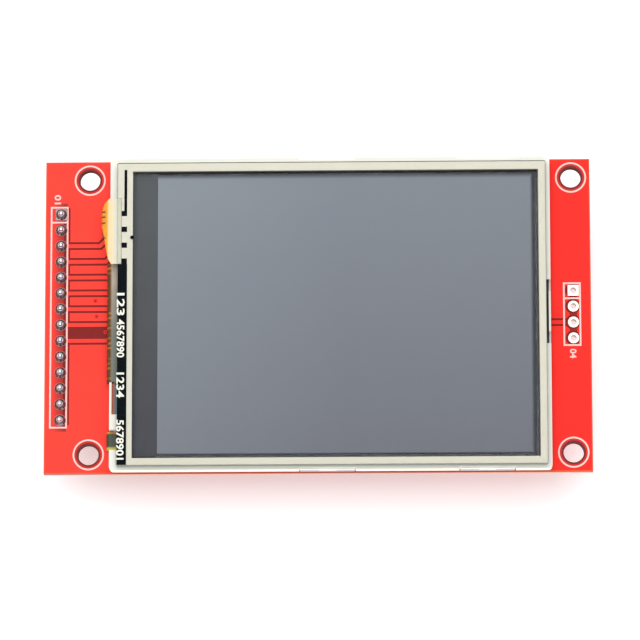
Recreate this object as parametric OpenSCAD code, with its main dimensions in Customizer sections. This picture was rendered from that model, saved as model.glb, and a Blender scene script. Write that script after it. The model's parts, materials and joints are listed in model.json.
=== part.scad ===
// Colour TFT display module: a red circuit board with a touch-screen display on its
// front and a pin header, an SD card socket and the electronics on its back.
// Origin: centre of the four mounting holes, on the back face of the board.
// +X runs along the board away from the pin header, +Z points out of the display.

/* [Board] */
// Length of the circuit board
board_l = 86; // [85:1:96]
// Width of the circuit board
board_w = 50; // [50:1:60]
// Thickness of the circuit board
board_t = 1.6; // [1.2:0.1:2]
// Diameter of the four mounting holes
hole_d = 3.2; // [2.6:0.1:3.4]
// Mounting hole centres to the left edge
hole_left = 7; // [6.4:0.1:7.4]
// Mounting hole centres to the right edge
hole_right = 3; // [2.8:0.1:3.2]
// Mounting hole centres to the long edges
hole_side = 3; // [2.8:0.1:3.6]

/* [Copper and print] */
// Depth of the bare laminate between copper areas
copper_t = 0.05; // [0.03:0.01:0.08]
// Width of the bare line on each side of a trace
gap_w = 0.33; // [0.15:0.01:0.35]
// Width of a trace
trace_w = 0.6; // [0.2:0.05:0.6]
// Thickness of solder pads above the laminate
pad_t = 0.05; // [0.03:0.01:0.06]
// Thickness of the white print
silk_t = 0.03; // [0.02:0.01:0.04]
// Line width of the white print
silk_w = 0.26; // [0.15:0.01:0.35]
// Clear radius between a mounting hole's edge and the ring printed round it
ring_gap = 0.6; // [0.4:0.05:0.8]

/* [Pin header] */
// Number of header pins
pin_count = 14; // [6:1:16]
// Distance from pin to pin, also for the row of open pads
pin_pitch = 2.54; // [2.54:0.46:3]
// Side of a square pin
pin_side = 0.64; // [0.5:0.01:0.7]
// Length of a pin below the insulator
pin_reach = 6; // [4:0.5:12]
// Height of a pin's tip above the front of the board
pin_tip = 1.2; // [0.8:0.1:1.5]
// Height of the insulator
header_h = 2.5; // [2:0.1:8.5]
// Width of the insulator
header_w = 2.5; // [2.2:0.1:2.8]
// Header row to the left edge of the board
header_inset = 2.5; // [2.2:0.1:3]
// Diameter of a plated hole
drill_d = 1; // [0.95:0.05:1.1]
// Diameter of a header pad
pad_d = 1.8; // [1.5:0.1:1.9]
// Wall of the plating in a hole
plate_t = 0.05; // [0.03:0.01:0.08]

/* [Open pads] */
// Number of open pads at the right end
open_count = 4; // [2:1:8]
// Row of open pads to the right edge of the board
open_inset = 2.8; // [2.2:0.1:3]
// Diameter of an open pad
open_d = 1.7; // [1.5:0.1:1.9]

/* [Display] */
// Left edge of the board to the display
lcd_left = 10.4; // [9.6:0.1:11.4]
// Right edge of the board to the display
lcd_right = 6.4; // [6:0.1:7.4]
// Long edges of the board to the display
lcd_side = 0.1; // [0:0.05:1]
// Radius of the frame's corners
frame_r = 0.6; // [0.2:0.1:1]
// Thickness of the foam tape under the display
tape_t = 0.3; // [0.25:0.05:0.8]
// Sheet thickness of the steel tray
tray_t = 0.2; // [0.15:0.05:0.3]
// Thickness of the reflector sheet
reflector_t = 0.1; // [0.05:0.05:0.2]
// Thickness of the light guide
guide_t = 0.6; // [0.5:0.1:1.2]
// Thickness of a diffuser or prism sheet
sheet_t = 0.1; // [0.05:0.01:0.2]
// Thickness of the rim tape
rim_t = 0.08; // [0.05:0.01:0.12]
// Thickness of the rear polariser
rear_polar_t = 0.1; // [0.08:0.01:0.2]
// Thickness of each of the two glass plates
glass_t = 0.35; // [0.3:0.05:0.7]
// Thickness of the front polariser
polar_t = 0.15; // [0.1:0.01:0.25]
// Left edge of the frame to the rear glass
glass_left = 3; // [2.8:0.1:3.4]
// Right edge of the frame to the glass plates
glass_right = 2; // [1.8:0.1:2.4]
// Top edge of the frame to the glass plates
glass_top = 2.3; // [2:0.1:2.6]
// Bottom edge of the frame to the glass plates
glass_bottom = 2; // [1.8:0.1:2.4]
// Length of the rear glass that the front glass leaves bare
ledge_l = 4.1; // [3:0.1:5]
// Border of the front glass round the polariser
polar_border = 0.4; // [0.3:0.05:0.8]
// Width of the shelf that carries the glass
shelf_w = 0.8; // [0.6:0.05:1.2]
// Clearance of loose pieces in the frame
fit_gap = 0.15; // [0.05:0.05:0.2]
// Number of LEDs in the backlight
led_count = 4; // [2:1:4]
// Distance between LEDs
led_pitch = 10; // [6:0.5:11]
// Width of an LED
led_w = 3; // [2:0.1:4]
// Depth of an LED
led_d = 0.9; // [0.6:0.05:1]
// Width of a snap tab of the steel tray
tab_w = 8.5; // [6:0.1:10]
// Middle of the display to the first snap tab
tab_shift = -0.5; // [-1:0.1:1]
// Distance between the two snap tabs of a side
tab_pitch = 25; // [16:0.1:26]
// Width of the lug in a snap tab
lug_w = 2.8; // [2:0.1:4]

/* [Driver ledge] */
// How far the driver chip reaches past the main flex on each side
driver_over = 0.25; // [0:0.05:1]
// Width of the driver chip
driver_w = 1; // [0.7:0.1:1.2]
// Height of the driver chip
driver_h = 0.3; // [0.2:0.05:0.3]
// Thickness of the black tape over the ledge
ledge_tape_t = 0.08; // [0.05:0.01:0.1]

/* [Flex tails] */
// Thickness of a flex
flex_t = 0.12; // [0.08:0.01:0.15]
// Width of the main flex
main_flex_w = 19; // [14:0.5:19.5]
// Middle of the main flex across the display
main_flex_y = -1.3; // [-1.6:0.1:0]
// Width of the backlight's tail
led_tail_w = 2.9; // [2.4:0.1:3]
// Bottom edge of the display to the backlight's tail
led_tail_side = 3.4; // [2.5:0.1:4.5]
// Width of the touch panel's tail where it leaves the panel
touch_tail_w = 10.5; // [9:0.1:10.8]
// Width of the touch panel's tail at the board
touch_tail_low_w = 2.6; // [2.4:0.1:4]
// Top edge of the display to the touch panel's tail
touch_tail_side = 6.6; // [5.5:0.1:7]
// Bulge of the main and backlight flexes past the frame
flex_bulge = 0.5; // [0.4:0.05:0.7]
// Bulge of the touch flex past the frame
touch_bulge = 1.4; // [1.35:0.05:2]
// Length of the main flex under the display
main_flex_run = 20; // [12:1:30]
// Solder fingers of the main flex
finger_count = 18; // [10:1:20]
// Distance between solder fingers
finger_pitch = 0.8; // [0.6:0.05:0.8]

/* [Touch panel] */
// Thickness of the adhesive ring under the touch panel
adhesive_t = 0.15; // [0.1:0.05:0.3]
// Thickness of the touch glass
touch_glass_t = 0.7; // [0.55:0.05:1.1]
// Thickness of the touch film
film_t = 0.15; // [0.1:0.01:0.2]
// Left edge of the frame to the touch panel
touch_left = 1.1; // [0.9:0.05:1.4]
// Right edge of the frame to the touch panel
touch_right = 0.6; // [0.3:0.05:0.7]
// Top edge of the frame to the touch panel
touch_top = 0.85; // [0.6:0.05:1.2]
// Bottom edge of the frame to the touch panel
touch_bottom = 0.55; // [0.3:0.05:0.8]
// Radius of the touch panel's corners
touch_r = 0.3; // [0.25:0.05:0.4]
// Width of the printed margin at the left, with the flex bond
margin_left = 2.5; // [2.3:0.05:2.7]
// Width of the printed margin at the right and at the bottom
margin_side = 1.2; // [1:0.05:1.5]
// Width of the printed margin at the top
margin_top = 1.4; // [1:0.05:1.6]
// Width of the strip along the left edge that holds the flex bond
bond_w = 1.45; // [1.3:0.05:1.6]
// Side of the black marks along the right edge of that strip
mark_w = 0.85; // [0.6:0.05:0.9]
// Width of the black slit above them
slit_w = 0.45; // [0.2:0.05:0.6]

/* [SD card socket] */
// Width of an SD card
card_w = 24; // [24:0.1:24.2]
// Thickness of an SD card
card_t = 2.1; // [2:0.1:2.2]
// Play of the card in its channel, on each side
card_play = 0.25; // [0.15:0.05:0.4]
// Length of the socket
sd_l = 26; // [22:0.5:27]
// Right edge of the board to the middle of the socket
sd_right = 23; // [22.5:0.5:26]
// Sheet thickness of the socket's shell
shell_t = 0.2; // [0.15:0.05:0.3]
// Thickness of the socket's floor
sd_floor = 0.5; // [0.4:0.05:0.8]
// Width of the rails beside the card
sd_rail = 1.3; // [1:0.1:2]
// Depth of the block that holds the contacts
sd_block = 4.5; // [3.5:0.1:6]
// Number of contacts
contact_count = 9; // [7:1:9]
// Distance between contacts
contact_pitch = 2.5; // [2.3:0.05:2.5]
// Width of a contact
contact_w = 0.9; // [0.6:0.05:1]
// Sheet thickness of a contact
contact_t = 0.15; // [0.1:0.01:0.2]
// Diameter of the two locating pegs
peg_d = 1.4; // [1:0.1:1.6]

/* [Small parts] */
// Body of the touch controller, along and across its rows of leads
controller = [5, 4.4, 1];
// Body of the regulator and of the transistor
small_chip = [2.9, 1.5, 1];
// Sheet thickness of chip leads
lead_t = 0.12; // [0.1:0.01:0.2]
// Chip resistor: length, width, height
resistor = [1.6, 0.8, 0.45];
// Chip capacitor: length, width, height
capacitor = [2, 1.25, 1];
// Length of a chip part's metal end
terminal_l = 0.35; // [0.2:0.05:0.5]

/* [Hidden] */

$fn = 48;
// Overlap that keeps cuts clean
eps = 0.01;

// Board outline and mounting holes
hole_x = (board_l - hole_left - hole_right) / 2;
hole_y = board_w / 2 - hole_side;
board_x0 = -hole_x - hole_left;
board_x1 = hole_x + hole_right;
ring_r = hole_d / 2 + ring_gap;

// Rows of pins and pads
header_x = board_x0 + header_inset;
open_x = board_x1 - open_inset;
header_box_w = 2.8;
header_box_x0 = header_x - 1.7;
header_box_x1 = header_box_x0 + header_box_w;
barrel_d = drill_d + 2 * plate_t;

// Display outline
lcd_x0 = board_x0 + lcd_left;
lcd_x1 = board_x1 - lcd_right;
lcd_y1 = board_w / 2 - lcd_side;

// Layers of the display, from the board up
z_tray = board_t + tape_t;
z_reflector = z_tray + tray_t;
z_guide = z_reflector + reflector_t;
z_sheets = z_guide + guide_t;
z_prism = z_sheets + max(sheet_t, flex_t);
z_rim = z_prism + 2 * sheet_t;
z_rear_polar = z_rim + rim_t;
z_rear = z_rear_polar + rear_polar_t;
z_front = z_rear + glass_t;
z_polar = z_front + glass_t;
// The polariser stays just below the top of the frame
z_frame = z_polar + polar_t + 0.05;
z_touch = z_frame + adhesive_t;
z_spacer = z_touch + touch_glass_t;
z_film = z_spacer + flex_t;

// Glass plates
rear_x0 = lcd_x0 + glass_left;
rear_x1 = lcd_x1 - glass_right;
front_x0 = rear_x0 + ledge_l;
glass_y0 = -lcd_y1 + glass_bottom;
glass_y1 = lcd_y1 - glass_top;

// Openings of the frame: the upper one holds the glass, the lower one the sheets
upper = [rear_x0 - fit_gap, glass_y0 - fit_gap, rear_x1 + fit_gap, glass_y1 + fit_gap];
lower = inset(upper, shelf_w);
sheets = inset(lower, fit_gap);
// Strip of flex that carries the LEDs
led_flex_w = 2;
guide_x0 = sheets[0] + led_d + fit_gap;
diffuser_x0 = sheets[0] + led_flex_w + fit_gap;

// Touch panel outline and window
touch = [lcd_x0 + touch_left, -lcd_y1 + touch_bottom, lcd_x1 - touch_right, lcd_y1 - touch_top];
window = [touch[0] + margin_left, touch[1] + margin_side, touch[2] - margin_side, touch[3] - margin_top];
// The spacer stops short of the glass edge
spacer_edge = 0.15;
bond_x1 = touch[0] + spacer_edge + bond_w;

// Flex tails: places across the display
main_flex_y0 = main_flex_y - main_flex_w / 2;
main_flex_y1 = main_flex_y + main_flex_w / 2;
driver_l = main_flex_w + 2 * driver_over;
led_tail = [-lcd_y1 + led_tail_side, -lcd_y1 + led_tail_side + led_tail_w];
touch_tail = [lcd_y1 - touch_tail_side - touch_tail_w, lcd_y1 - touch_tail_side];
// The narrow part starts a little below the top of the wide one
touch_tail_step = 1.7;
touch_tail_low = [touch_tail[1] - touch_tail_step - touch_tail_low_w, touch_tail[1] - touch_tail_step];
flex_side = 0.15;
z_flex = board_t + pad_t;

// Frame details
wall_notch_x = lcd_x0 + 0.65;
// Slot beside the main flex, behind a thin outer wall
trough_l = 5.1;
trough_w = 0.9;
trough_wall = 0.35;
// Left ends of the snap tabs
tabs = [for (i = [0, 1]) (lcd_x0 + lcd_x1 - tab_w) / 2 + tab_shift + i * tab_pitch];
lug_h = 0.8;
tab_top = 0.5;
tray_inset = 0.6;
recess = [-5.1, 5.1];
recess_w = 0.35;
recess_end = 1.85;

// SD card socket, with its mouth at the upper long edge of the board
channel_w = card_w + 2 * card_play;
sd_body_w = channel_w + 2 * sd_rail;
sd_w = sd_body_w + 2 * shell_t;
sd_inner_h = sd_floor + card_t + card_play;
sd_h = sd_inner_h + shell_t;
sd_x = board_x1 - sd_right;
sd_y = board_w / 2 - sd_l / 2;
contact_slot = contact_w + 0.3;
foot_l = 1.2;

// Function that shrinks a box [x0, y0, x1, y1] on all sides
function inset(b, d) = [b[0] + d, b[1] + d, b[2] - d, b[3] - d];
// Box of size s round a point
function box_at(p, s) = [p[0] - s[0] / 2, p[1] - s[1] / 2, p[0] + s[0] / 2, p[1] + s[1] / 2];
// Place of item i of n along a centred row, first item at the top
function row_y(i, n, pitch) = ((n - 1) / 2 - i) * pitch;

// Corners of a box as a rounded outline, in short steps
function rounded(b, r) = [for (c = [[b[2] - r, b[3] - r, 0], [b[0] + r, b[3] - r, 90],
    [b[0] + r, b[1] + r, 180], [b[2] - r, b[1] + r, 270]], a = [0:18:90])
        [c[0] + r * cos(c[2] + a), c[1] + r * sin(c[2] + a)]];

// Flat plate over a box [x0, y0, x1, y1], with rounded corners if r is given
module plate(b, z, t, r = 0) {
    if (r > 0) translate([0, 0, z]) linear_extrude(t) polygon(rounded(b, r));
    else translate([b[0], b[1], z]) cube([b[2] - b[0], b[3] - b[1], t]);
}

// Flat ring between two boxes
module ring(outer, inner, z, t, r = 0) {
    difference() {
        plate(outer, z, t, r);
        plate(inner, z - eps, t + 2 * eps);
    }
}

// Unit normal of the step from point i of a run
function normal(points, i) = let (d = points[i + 1] - points[i]) [-d[1], d[0]] / norm(d);
// Offset of point i of a run to its left, mitred at the corners
function mitre(points, i) = i == 0 ? normal(points, 0)
    : i == len(points) - 1 ? normal(points, i - 1)
    : let (a = normal(points, i - 1), b = normal(points, i)) (a + b) / (1 + a * b);
function beside(points, d) = [for (i = [0:len(points) - 1]) points[i] + d * mitre(points, i)];
function reversed(list) = [for (i = [len(list) - 1:-1:0]) list[i]];

// Band along a run of points, between two offsets from it
module band(points, from, to) {
    polygon(concat(beside(points, from), reversed(beside(points, to))));
}

// Bare lines on both sides of a trace
module trace_gaps(points) {
    band(points, trace_w / 2, trace_w / 2 + gap_w);
    band(points, -trace_w / 2, -trace_w / 2 - gap_w);
}

// Outline of a printed frame with its line width
module silk_box(b) {
    difference() {
        translate([b[0], b[1]]) square([b[2] - b[0], b[3] - b[1]]);
        translate([b[0] + silk_w, b[1] + silk_w])
            square([b[2] - b[0] - 2 * silk_w, b[3] - b[1] - 2 * silk_w]);
    }
}

// Turns children from "up from the board's back" into place under the board
module on_back(x, y, turn = 0) {
    translate([x, y, -pad_t]) rotate([180, 0, 0]) rotate(turn) children();
}

// Places of the four mounting holes
module at_corners() {
    for (x = [-hole_x, hole_x], y = [-hole_y, hole_y]) translate([x, y]) children();
}

// Places of the header pins, and of the open pads
module at_header() {
    for (i = [0:pin_count - 1]) translate([header_x, row_y(i, pin_count, pin_pitch)]) children();
}
module at_open_pads() {
    for (i = [0:open_count - 1]) translate([open_x, row_y(i, open_count, pin_pitch)]) children();
}

// ---- Board ----

// Traces that leave the header: from the third pin to the ninth
first_trace = 2;
last_trace = min(8, pin_count - 1);
// Bare line that runs along the right of the header box
moat_w = 0.28;
moat_x0 = header_box_x1 + 0.04;
// How far a trace climbs just before the display
function climb(i) = i == first_trace ? 2.5 : i == first_trace + 1 ? 0.6 : 0;

module front_traces() {
    for (i = [first_trace:last_trace]) {
        y = row_y(i, pin_count, pin_pitch);
        bend_x = lcd_x0 - 0.5 - climb(i) / 2;
        trace_gaps(concat([[moat_x0 + moat_w / 2, y], [bend_x, y]],
            climb(i) > 0 ? [[bend_x + climb(i), y + climb(i)]] : [], [[lcd_x0 + 5, y + climb(i)]]));
    }
}

// Areas of the front without copper, which lie a little lower
module front_bare() {
    row = pin_count * pin_pitch / 2;
    y_eight = row_y(last_trace - 1, pin_count, pin_pitch);
    y_nine = row_y(last_trace, pin_count, pin_pitch);
    at_corners() circle(r = ring_r);
    front_traces();
    // Line along the header box, which the traces cross
    difference() {
        translate([moat_x0, -row + 0.5]) square([moat_w, 2 * row - 0.7]);
        for (i = [first_trace:last_trace])
            translate([moat_x0 - eps, row_y(i, pin_count, pin_pitch) - trace_w / 2])
                square([moat_w + 2 * eps, trace_w]);
    }
    // Block between the last two traces
    inner = (trace_w + gap_w) / 2;
    translate([moat_x0 + moat_w / 2, y_nine + inner])
        square([lcd_x0 - 0.3 - moat_x0 - moat_w / 2, y_eight - y_nine - 2 * inner]);
    // Inside of the header box, clear of the pads
    difference() {
        translate([header_x + pad_d / 4, -row + silk_w]) square([pad_d / 3, 2 * row - 2 * silk_w]);
        at_header() circle(d = pad_d + 0.2);
        translate([header_x, row - pin_pitch]) square([pin_pitch, pin_pitch]);
        translate([header_box_x1 - silk_w, -row]) square([pad_d, 2 * row]);
    }
    // Rings round the open pads, and the trace to the third one
    difference() {
        at_open_pads() translate([-0.1, 0]) circle(d = open_d + 2 * gap_w);
        at_open_pads() circle(d = open_d);
    }
    open_trace_y = row_y(min(2, open_count - 1), open_count, pin_pitch);
    trace_gaps([[lcd_x1 - 4, open_trace_y], [open_x - open_d / 2 - gap_w / 2, open_trace_y]]);
}

// Back traces: end of their straight start, of their bend, and of the trace itself
back_start = 1;
back_bend = 3;
back_end = 9;

// Areas of the back without copper
module back_bare() {
    at_corners() circle(r = ring_r);
    for (i = [first_trace:last_trace + 2]) {
        y = row_y(i, pin_count, pin_pitch);
        x = header_x + header_w;
        trace_gaps([[x, y], [x + back_start, y], [x + back_bend, y * 0.8], [x + back_end, y * 0.8]]);
    }
    for (i = [0:open_count - 1]) {
        y = row_y(i, open_count, pin_pitch);
        trace_gaps([[open_x - open_d / 2 - gap_w, y], [open_x - open_d / 2 - 2, y]]);
    }
}

module pcb() {
    color([0.96, 0.22, 0.18]) difference() {
        linear_extrude(board_t) difference() {
            translate([board_x0, -board_w / 2]) square([board_l, board_w]);
            at_corners() circle(d = hole_d);
            at_header() circle(d = barrel_d);
            at_open_pads() circle(d = barrel_d);
            at_pegs() circle(d = peg_d + 2 * peg_play);
        }
        translate([0, 0, board_t - copper_t]) linear_extrude(copper_t + eps) front_bare();
        translate([0, 0, -eps]) linear_extrude(copper_t + eps) back_bare();
    }
}

// One plated hole: a barrel through the board with a pad on each face
module plated_hole(d, square_pad) {
    difference() {
        union() {
            translate([0, 0, -pad_t]) cylinder(d = barrel_d, h = board_t + 2 * pad_t);
            for (z = [-pad_t, board_t]) translate([0, 0, z]) {
                if (square_pad) translate([-d / 2, -d / 2, 0]) cube([d, d, pad_t]);
                else cylinder(d = d, h = pad_t);
            }
        }
        translate([0, 0, -pad_t - eps]) cylinder(d = drill_d, h = board_t + 2 * pad_t + 2 * eps);
    }
}

module header_pads() {
    color([0.85, 0.85, 0.83]) for (i = [0:pin_count - 1])
        translate([header_x, row_y(i, pin_count, pin_pitch), 0]) plated_hole(pad_d, i == 0);
}

module open_pads() {
    color([0.85, 0.85, 0.83]) for (i = [0:open_count - 1])
        translate([open_x, row_y(i, open_count, pin_pitch), 0]) plated_hole(open_d, i == 0);
}

// Printed box round a row, with a line after the first place
module silk_row(x0, x1, count) {
    row = count * pin_pitch / 2;
    silk_box([x0, -row, x1, row]);
    translate([x0, row - pin_pitch - silk_w / 2]) square([x1 - x0, silk_w]);
}

module silk_rings() {
    at_corners() difference() {
        circle(r = ring_r + silk_w);
        circle(r = ring_r);
    }
}

module front_silkscreen() {
    color([1, 0.75, 0.72]) translate([0, 0, board_t]) linear_extrude(silk_t) {
        // The print stops short of the header's pads
        difference() {
            silk_row(header_box_x0, header_box_x1, pin_count);
            at_header() circle(d = pad_d + 0.1);
            translate([header_x, row_y(0, pin_count, pin_pitch)]) square(pad_d + 0.1, center = true);
        }
        silk_row(open_x - header_box_w / 2 - 0.2, open_x + header_box_w / 2 - 0.2, open_count);
        silk_rings();
    }
}

module back_silkscreen() {
    color([1, 0.9, 0.88]) translate([0, 0, -silk_t]) linear_extrude(silk_t) {
        silk_row(header_x - header_w / 2 - 0.4, header_x + header_w / 2 + 0.4, pin_count);
        silk_row(open_x - header_box_w / 2, open_x + header_box_w / 2, open_count);
        silk_rings();
        silk_box(box_at(controller_at, [controller[0] + 2, controller[1] + 4.4]));
        silk_box(box_at(footprint_at, [footprint_l + 1.4, 4 * footprint_pitch + 1.4]));
    }
}

// ---- Pin header ----

header_top = -pad_t;
header_bottom = header_top - header_h;
pin_z0 = header_bottom - pin_reach;
pin_z1 = board_t + pin_tip;
// Chamfer at the ends of a pin, and at the corners of an insulator cell
pin_chamfer = pin_side / 4;
cell_chamfer = header_w / 6;

module header_body() {
    p = pin_pitch / 2;
    w = header_w / 2;
    c = cell_chamfer;
    color([0.08, 0.08, 0.09]) translate([0, 0, header_bottom]) linear_extrude(header_h) difference() {
        at_header() polygon([[-w + c, -p], [w - c, -p], [w, -p + c], [w, p - c],
            [w - c, p], [-w + c, p], [-w, p - c], [-w, -p + c]]);
        at_header() square(pin_side, center = true);
    }
}

// Side view of a pin, with both ends chamfered
module pin_profile() {
    s = pin_side / 2;
    c = pin_chamfer;
    polygon([[-s + c, pin_z0], [s - c, pin_z0], [s, pin_z0 + 2 * c], [s, pin_z1 - 2 * c],
        [s - c, pin_z1], [-s + c, pin_z1], [-s, pin_z1 - 2 * c], [-s, pin_z0 + 2 * c]]);
}

module header_pins() {
    color([0.86, 0.74, 0.42]) at_header() intersection() {
        rotate([90, 0, 0]) linear_extrude(pin_side, center = true) pin_profile();
        rotate([90, 0, 90]) linear_extrude(pin_side, center = true) pin_profile();
    }
}

// Solder: fills the plated hole and climbs the pin in a hollow cone
solder_h = 0.85;
function cone_r(t) = 0.46 + (pad_d / 2 - 0.5) * pow(1 - t, 2);

module solder_joints() {
    z = board_t + pad_t;
    steps = 5;
    color([0.8, 0.81, 0.82]) at_header() difference() {
        union() {
            translate([0, 0, -pad_t]) cylinder(d = drill_d, h = z + pad_t);
            translate([0, 0, z]) rotate_extrude() polygon(concat([[0, 0]],
                [for (i = [0:steps]) [cone_r(i / steps), solder_h * i / steps]], [[0, solder_h]]));
        }
        translate([-pin_side / 2, -pin_side / 2, -1]) cube([pin_side, pin_side, z + solder_h + 2]);
    }
}

// ---- Display ----

// Foam strips between the board and the display, clear of the flex tails
foam_w = 3.4;
foam_inset = 0.8;
foam_left = 9;
foam_right = 1.5;
foam_y0 = lcd_y1 - foam_inset - foam_w;

module foam_tape() {
    color([0.2, 0.2, 0.2]) for (y = [foam_y0, -foam_y0 - foam_w])
        plate([lcd_x0 + foam_left, y, lcd_x1 - foam_right, y + foam_w], board_t, tape_t);
}

// Steel tray with two snap tabs on each long side
lug_z = z_reflector + 0.5;
function lug_x(x) = x + (tab_w - lug_w) / 2;

// Both long sides, seen as the lower one
module at_long_sides() {
    for (side = [0, 1]) mirror([0, side, 0]) children();
}

module steel_tray() {
    color([0.6, 0.62, 0.65]) difference() {
        union() {
            plate([lcd_x0 + tray_inset, -lcd_y1 + tray_inset, lcd_x1 - tray_inset, lcd_y1 - tray_inset],
                z_tray, tray_t);
            at_long_sides() for (x = tabs) {
                plate([x, -lcd_y1, x + tab_w, -lcd_y1 + tray_inset + eps], z_tray, tray_t);
                plate([x, -lcd_y1, x + tab_w, -lcd_y1 + tray_t], z_tray, z_frame - tab_top - z_tray);
            }
        }
        at_long_sides() for (x = tabs)
            translate([lug_x(x) - fit_gap / 2, -lcd_y1 - eps, lug_z - fit_gap / 2])
                cube([lug_w + fit_gap, tray_t + 2 * eps, lug_h + fit_gap]);
    }
}

// Notch for a tab of the tray, with the lug that snaps into the tab's window
module tab_notch(x) {
    difference() {
        translate([x - fit_gap, -lcd_y1 - eps, z_reflector - eps])
            cube([tab_w + 2 * fit_gap, tray_t + fit_gap / 3 + eps, z_frame]);
        translate([lug_x(x), -lcd_y1, lug_z]) cube([lug_w, tray_t + fit_gap, lug_h]);
    }
}

// Way through the left wall for a flex: full depth outside, down to floor_z inside
module flex_notch(y0, y1, floor_z, x1) {
    translate([lcd_x0 - 1, y0, z_reflector - eps])
        cube([wall_notch_x - lcd_x0 + 1, y1 - y0, z_frame]);
    translate([wall_notch_x - eps, y0, floor_z])
        cube([x1 - wall_notch_x + 2 * eps, y1 - y0, z_frame]);
}

module lcd_frame() {
    color([0.96, 0.95, 0.93]) difference() {
        plate([lcd_x0, -lcd_y1, lcd_x1, lcd_y1], z_reflector, z_frame - z_reflector, frame_r);
        plate(lower, z_reflector - eps, z_frame);
        plate(upper, z_rim, z_frame);
        flex_notch(main_flex_y0 - flex_side, main_flex_y1 + flex_side, z_front, upper[0]);
        flex_notch(led_tail[0] - flex_side, led_tail[1] + flex_side, z_sheets, lower[0]);
        translate([lcd_x0 + trough_wall, main_flex_y0 - flex_side - trough_l, z_rear])
            cube([trough_w, trough_l + eps, z_frame]);
        at_long_sides() for (x = tabs) tab_notch(x);
        // Slot in the right rim, open to the outside at both ends
        translate([lcd_x1 - touch_right - fit_gap / 2, recess[0], z_rim])
            cube([recess_w, recess[1] - recess[0], z_frame]);
        for (y = [recess[0], recess[1] - recess_end])
            translate([lcd_x1 - touch_right - fit_gap / 2, y, z_rim]) cube([touch_right + 1, recess_end, z_frame]);
    }
}

module reflector_sheet() {
    color([0.95, 0.95, 0.96]) plate(sheets, z_reflector, reflector_t);
}

module light_guide() {
    color([0.85, 0.92, 0.95, 0.6]) plate([guide_x0, sheets[1], sheets[2], sheets[3]], z_guide, guide_t);
}

module backlight_leds() {
    color([0.98, 0.95, 0.7]) for (i = [0:led_count - 1])
        translate([sheets[0], (glass_y0 + glass_y1 - led_w) / 2 + row_y(i, led_count, led_pitch), z_guide])
            cube([led_d, led_w, guide_t]);
}

module diffuser_sheet() {
    color([0.93, 0.93, 0.93]) plate([diffuser_x0, sheets[1], sheets[2], sheets[3]], z_sheets, sheet_t);
}

module prism_sheet_lower() {
    color([0.88, 0.9, 0.93]) plate(sheets, z_prism, sheet_t);
}

module prism_sheet_upper() {
    color([0.86, 0.88, 0.92]) plate(sheets, z_prism + sheet_t, sheet_t);
}

// Outline of both polarisers
polar = [front_x0 + polar_border, glass_y0 + polar_border, rear_x1 - polar_border, glass_y1 - polar_border];

module rim_tape() {
    color([0.05, 0.05, 0.05]) ring(inset(upper, fit_gap / 2), inset(polar, 1), z_rim, rim_t);
}

module rear_polarizer() {
    color([0.3, 0.31, 0.33]) plate(polar, z_rear_polar, rear_polar_t);
}

module rear_glass() {
    color([0.6, 0.7, 0.7, 0.5]) plate([rear_x0, glass_y0, rear_x1, glass_y1], z_rear, glass_t);
}

module front_glass() {
    color([0.6, 0.7, 0.7, 0.5]) plate([front_x0, glass_y0, rear_x1, glass_y1], z_front, glass_t);
}

module front_polarizer() {
    color([0.5, 0.52, 0.55]) plate(polar, z_polar, polar_t);
}

// Length of glass that a flex is bonded to
bond_l = 1.5;

module driver_chip() {
    color([0.15, 0.15, 0.17])
        translate([front_x0 - driver_w - 0.5, main_flex_y - driver_l / 2, z_front])
            cube([driver_w, driver_l, driver_h]);
}

module ledge_tape() {
    color([0.12, 0.12, 0.13])
        plate([rear_x0, glass_y0 + fit_gap, polar[0] - 0.05, glass_y1 - fit_gap], z_polar, ledge_tape_t);
}

// Side view of a flex: upper run, half turn to the left, lower run
module flex_profile(z_hi, bulge, x_hi, x_lo) {
    r = (z_hi - z_flex) / 2;
    x = lcd_x0 - bulge + r;
    translate([x, z_hi - flex_t]) square([x_hi - x, flex_t]);
    translate([x, z_flex]) square([x_lo - x, flex_t]);
    translate([x, z_flex + r]) intersection() {
        difference() {
            circle(r = r);
            circle(r = r - flex_t);
        }
        translate([-r, -r]) square([r + eps, 2 * r]);
    }
}

module flex_strip(y0, y1, z_hi, bulge, x_hi, x_lo) {
    translate([0, y1, 0]) rotate([90, 0, 0]) linear_extrude(y1 - y0) flex_profile(z_hi, bulge, x_hi, x_lo);
}

module main_flex() {
    color([0.65, 0.41, 0.14]) flex_strip(main_flex_y0, main_flex_y1, z_front + flex_t, flex_bulge,
        rear_x0 + bond_l, lcd_x0 + main_flex_run);
}

module backlight_flex() {
    color([0.8, 0.6, 0.25]) {
        plate([sheets[0], sheets[1], sheets[0] + led_flex_w, sheets[3]], z_sheets, flex_t);
        flex_strip(led_tail[0], led_tail[1], z_sheets + flex_t, flex_bulge, sheets[0] + eps, lcd_x0 + tail_run);
    }
}

// Run of the narrow tails under the display
tail_run = 7;

// Solder pads under the ends of the three flexes
module flex_pads() {
    l = 1.5;
    color([0.85, 0.85, 0.83]) {
        for (i = [0:finger_count - 1])
            translate([lcd_x0 + main_flex_run - l, main_flex_y + row_y(i, finger_count, finger_pitch) - finger_pitch / 4,
                board_t]) cube([l, finger_pitch / 2, pad_t]);
        for (tail = [led_tail, touch_tail_low], i = [0:1])
            translate([lcd_x0 + tail_run - l, tail[0] + 0.4 + i * 1.2, board_t]) cube([l, 0.7, pad_t]);
    }
}

// ---- Touch panel ----

module touch_adhesive() {
    color([0.9, 0.89, 0.86]) ring(inset(touch, 0.3), inset(window, -0.2), z_frame, adhesive_t);
}

module touch_glass() {
    color([0.75, 0.8, 0.8, 0.4]) plate(touch, z_touch, touch_glass_t, touch_r);
}

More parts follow.
